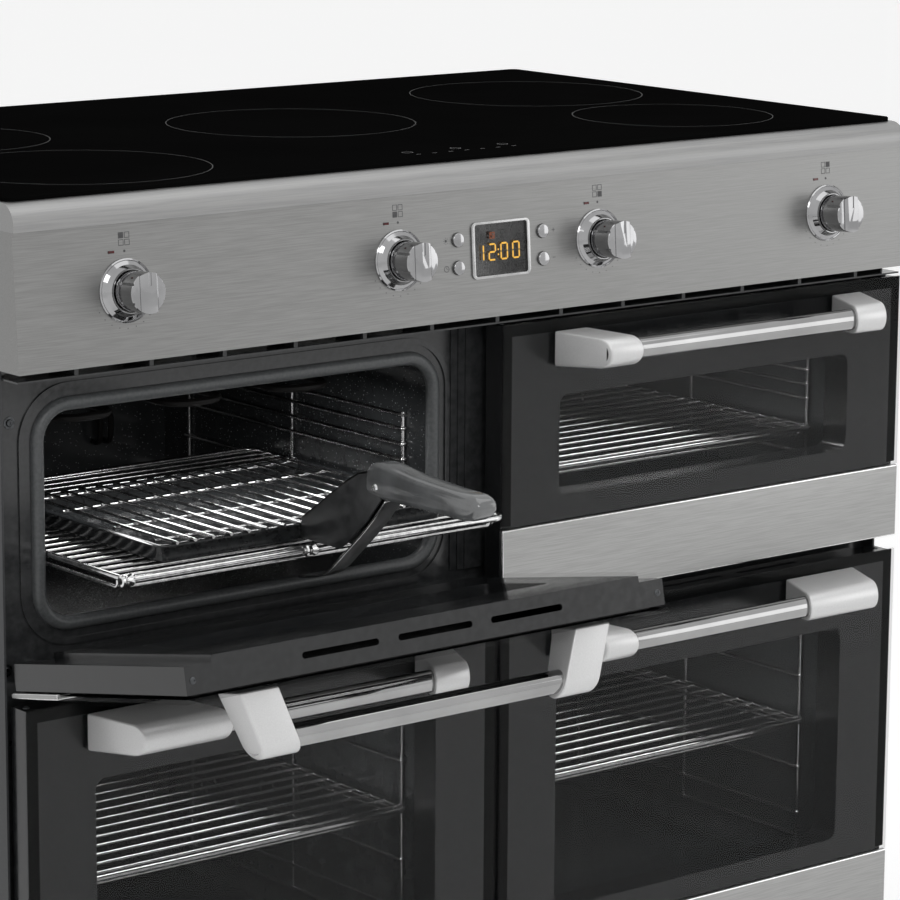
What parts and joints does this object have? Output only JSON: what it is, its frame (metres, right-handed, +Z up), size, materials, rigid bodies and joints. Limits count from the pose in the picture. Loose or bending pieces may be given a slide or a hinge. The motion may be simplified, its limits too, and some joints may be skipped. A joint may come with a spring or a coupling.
{
  "type": "electric range cooker",
  "caption": "Free-standing electric range cooker with induction hob, control knobs, clock and drop-down oven doors, the grill door open over a pulled-out wire shelf and pan.",
  "frame": {"origin": "centre of the bounding box seen from above, on the floor, in the pose of the picture", "axes": "+X to the cooker's right seen from the front, +Y from front to back, +Z up"},
  "size_m": [1, 0.8884, 0.9],
  "materials": {
    "stainless": "brushed",
    "hob_black_glass": "polished",
    "door_black_glass": "polished",
    "clock_glass": "polished",
    "black_enamel": "gloss enamel",
    "cavity_enamel": "speckled gloss enamel",
    "side_paint": "satin",
    "galvanised": "galvanised",
    "chrome": "polished",
    "satin_aluminium": "satin",
    "handle_steel": "polished",
    "coil_aluminium": "wound",
    "element_black": "oxidised",
    "gasket_rubber": "satin",
    "foot_plastic": "matt",
    "switch_plastic": "matt",
    "clock_plastic": "gloss",
    "lens_red": "translucent red"
  },
  "bodies": {
    "cabinet": {"side_panels": "side_paint", "back_panel": "galvanised", "base_tray": "galvanised", "plinth": "black_enamel", "feet": "foot_plastic", "front_frame": "black_enamel", "hob_trim": "stainless", "hob_glass": "hob_black_glass", "hob_coils": "coil_aluminium", "control_fascia": "stainless", "knob_bezels": "chrome", "rotary_switches": "switch_plastic", "indicator_lenses": "lens_red", "clock_case": "clock_plastic", "clock_window": "clock_glass", "upper_liners": "cavity_enamel", "lower_left_liner": "cavity_enamel", "lower_right_liner": "cavity_enamel", "door_gaskets": "gasket_rubber", "door_hinges": "galvanised", "side_racks": "chrome", "heating_elements": "element_black", "fan_housings": "cavity_enamel"},
    "door_top_left": {"door_top_left_glass": "door_black_glass", "door_top_left_strip": "stainless", "door_top_left_frame": "black_enamel", "door_top_left_inner_glass": "door_black_glass", "door_top_left_handle": "satin_aluminium"},
    "door_top_right": {"door_top_right_glass": "door_black_glass", "door_top_right_strip": "stainless", "door_top_right_frame": "black_enamel", "door_top_right_inner_glass": "door_black_glass", "door_top_right_handle": "satin_aluminium"},
    "door_bottom_left": {"door_bottom_left_glass": "door_black_glass", "door_bottom_left_strip": "stainless", "door_bottom_left_frame": "black_enamel", "door_bottom_left_inner_glass": "door_black_glass", "door_bottom_left_handle": "satin_aluminium"},
    "door_bottom_right": {"door_bottom_right_glass": "door_black_glass", "door_bottom_right_strip": "stainless", "door_bottom_right_frame": "black_enamel", "door_bottom_right_inner_glass": "door_black_glass", "door_bottom_right_handle": "satin_aluminium"},
    "grill_shelf": {"shelf_top_left": "chrome", "grill_pan": "black_enamel", "pan_grid": "chrome"},
    "pan_handle": {"pan_handle": "handle_steel"},
    "shelf_top_right": {"shelf_top_right": "chrome"},
    "shelf_bottom_left": {"shelf_bottom_left": "chrome"},
    "shelf_bottom_right": {"shelf_bottom_right": "chrome"},
    "oven_knob_1": {"oven_knob_1": "chrome"},
    "oven_knob_2": {"oven_knob_2": "chrome"},
    "oven_knob_3": {"oven_knob_3": "chrome"},
    "oven_knob_4": {"oven_knob_4": "chrome"},
    "clock_button_1": {"clock_button_1": "chrome"},
    "clock_button_2": {"clock_button_2": "chrome"},
    "clock_button_3": {"clock_button_3": "chrome"},
    "clock_button_4": {"clock_button_4": "chrome"},
    "fan_bottom_left": {"fan_bottom_left": "handle_steel"},
    "fan_bottom_right": {"fan_bottom_right": "handle_steel"}
  },
  "joints": [
    {"name": "door_top_left_hinge", "type": "hinge", "parent": "cabinet", "child": "door_top_left", "pos_m": [-0.25, -0.14035, 0.5035], "axis": [-1, 0, 0], "range_deg": [0, 78.8]},
    {"name": "door_top_right_hinge", "type": "hinge", "parent": "cabinet", "child": "door_top_right", "pos_m": [0.25, -0.14035, 0.5035], "axis": [1, 0, 0], "range_deg": [0, 80], "stiffness_Nm_per_rad": 1.8, "springref_deg": -57.3},
    {"name": "door_bottom_left_hinge", "type": "hinge", "parent": "cabinet", "child": "door_bottom_left", "pos_m": [-0.25, -0.14035, 0.1142], "axis": [1, 0, 0], "range_deg": [0, 80], "stiffness_Nm_per_rad": 5, "springref_deg": -45.84},
    {"name": "door_bottom_right_hinge", "type": "hinge", "parent": "cabinet", "child": "door_bottom_right", "pos_m": [0.25, -0.14035, 0.1142], "axis": [1, 0, 0], "range_deg": [0, 80], "stiffness_Nm_per_rad": 5, "springref_deg": -45.84},
    {"name": "grill_shelf_slide", "type": "slide", "parent": "cabinet", "child": "grill_shelf", "axis": [0, 1, 0], "range_m": [0, 0.134]},
    {"name": "pan_handle_lift", "type": "hinge", "parent": "cabinet", "child": "pan_handle", "pos_m": [-0.25, -0.14575, 0.7925], "axis": [-1, 0, 0], "range_deg": [0, 180]},
    {"name": "shelf_top_right_slide", "type": "slide", "parent": "cabinet", "child": "shelf_top_right", "axis": [0, -1, 0], "range_m": [0, 0.15]},
    {"name": "shelf_bottom_left_slide", "type": "slide", "parent": "cabinet", "child": "shelf_bottom_left", "axis": [0, -1, 0], "range_m": [0, 0.15]},
    {"name": "shelf_bottom_right_slide", "type": "slide", "parent": "cabinet", "child": "shelf_bottom_right", "axis": [0, -1, 0], "range_m": [0, 0.15]},
    {"name": "oven_knob_1_turn", "type": "hinge", "parent": "cabinet", "child": "oven_knob_1", "pos_m": [-0.394, -0.15209, 0.81736], "axis": [0, 0.9976, -0.0688], "range_deg": [0, 270]},
    {"name": "oven_knob_2_turn", "type": "hinge", "parent": "cabinet", "child": "oven_knob_2", "pos_m": [-0.1125, -0.15209, 0.81736], "axis": [0, 0.9976, -0.0688], "range_deg": [0, 270]},
    {"name": "oven_knob_3_turn", "type": "hinge", "parent": "cabinet", "child": "oven_knob_3", "pos_m": [0.1135, -0.15209, 0.81736], "axis": [0, 0.9976, -0.0688], "range_deg": [0, 270]},
    {"name": "oven_knob_4_turn", "type": "hinge", "parent": "cabinet", "child": "oven_knob_4", "pos_m": [0.397, -0.15209, 0.81736], "axis": [0, 0.9976, -0.0688], "range_deg": [0, 270]},
    {"name": "clock_button_1_press", "type": "slide", "parent": "cabinet", "child": "clock_button_1", "axis": [0, 0.9976, -0.0688], "range_m": [0, 0.0015], "stiffness_N_per_m": 400, "springref_m": -0.001},
    {"name": "clock_button_2_press", "type": "slide", "parent": "cabinet", "child": "clock_button_2", "axis": [0, 0.9976, -0.0688], "range_m": [0, 0.0015], "stiffness_N_per_m": 400, "springref_m": -0.001},
    {"name": "clock_button_3_press", "type": "slide", "parent": "cabinet", "child": "clock_button_3", "axis": [0, 0.9976, -0.0688], "range_m": [0, 0.0015], "stiffness_N_per_m": 400, "springref_m": -0.001},
    {"name": "clock_button_4_press", "type": "slide", "parent": "cabinet", "child": "clock_button_4", "axis": [0, 0.9976, -0.0688], "range_m": [0, 0.0015], "stiffness_N_per_m": 400, "springref_m": -0.001},
    {"name": "fan_bottom_left_spin", "type": "hinge", "parent": "cabinet", "child": "fan_bottom_left", "pos_m": [-0.25, 0.30025, 0.29955], "axis": [0, 1, 0], "continuous": true},
    {"name": "fan_bottom_right_spin", "type": "hinge", "parent": "cabinet", "child": "fan_bottom_right", "pos_m": [0.25, 0.30025, 0.29955], "axis": [0, 1, 0], "continuous": true}
  ],
  "couplings": [
    {"joint": "grill_shelf_slide", "follows": "door_top_left_hinge", "m_per_rad": 0.097431},
    {"joint": "pan_handle_lift", "follows": "door_top_left_hinge", "ratio": 2.2843},
    {"joint": "shelf_top_right_slide", "follows": "door_top_right_hinge", "m_per_rad": 0.10743},
    {"joint": "shelf_bottom_left_slide", "follows": "door_bottom_left_hinge", "m_per_rad": 0.10743},
    {"joint": "shelf_bottom_right_slide", "follows": "door_bottom_right_hinge", "m_per_rad": 0.10743}
  ]
}
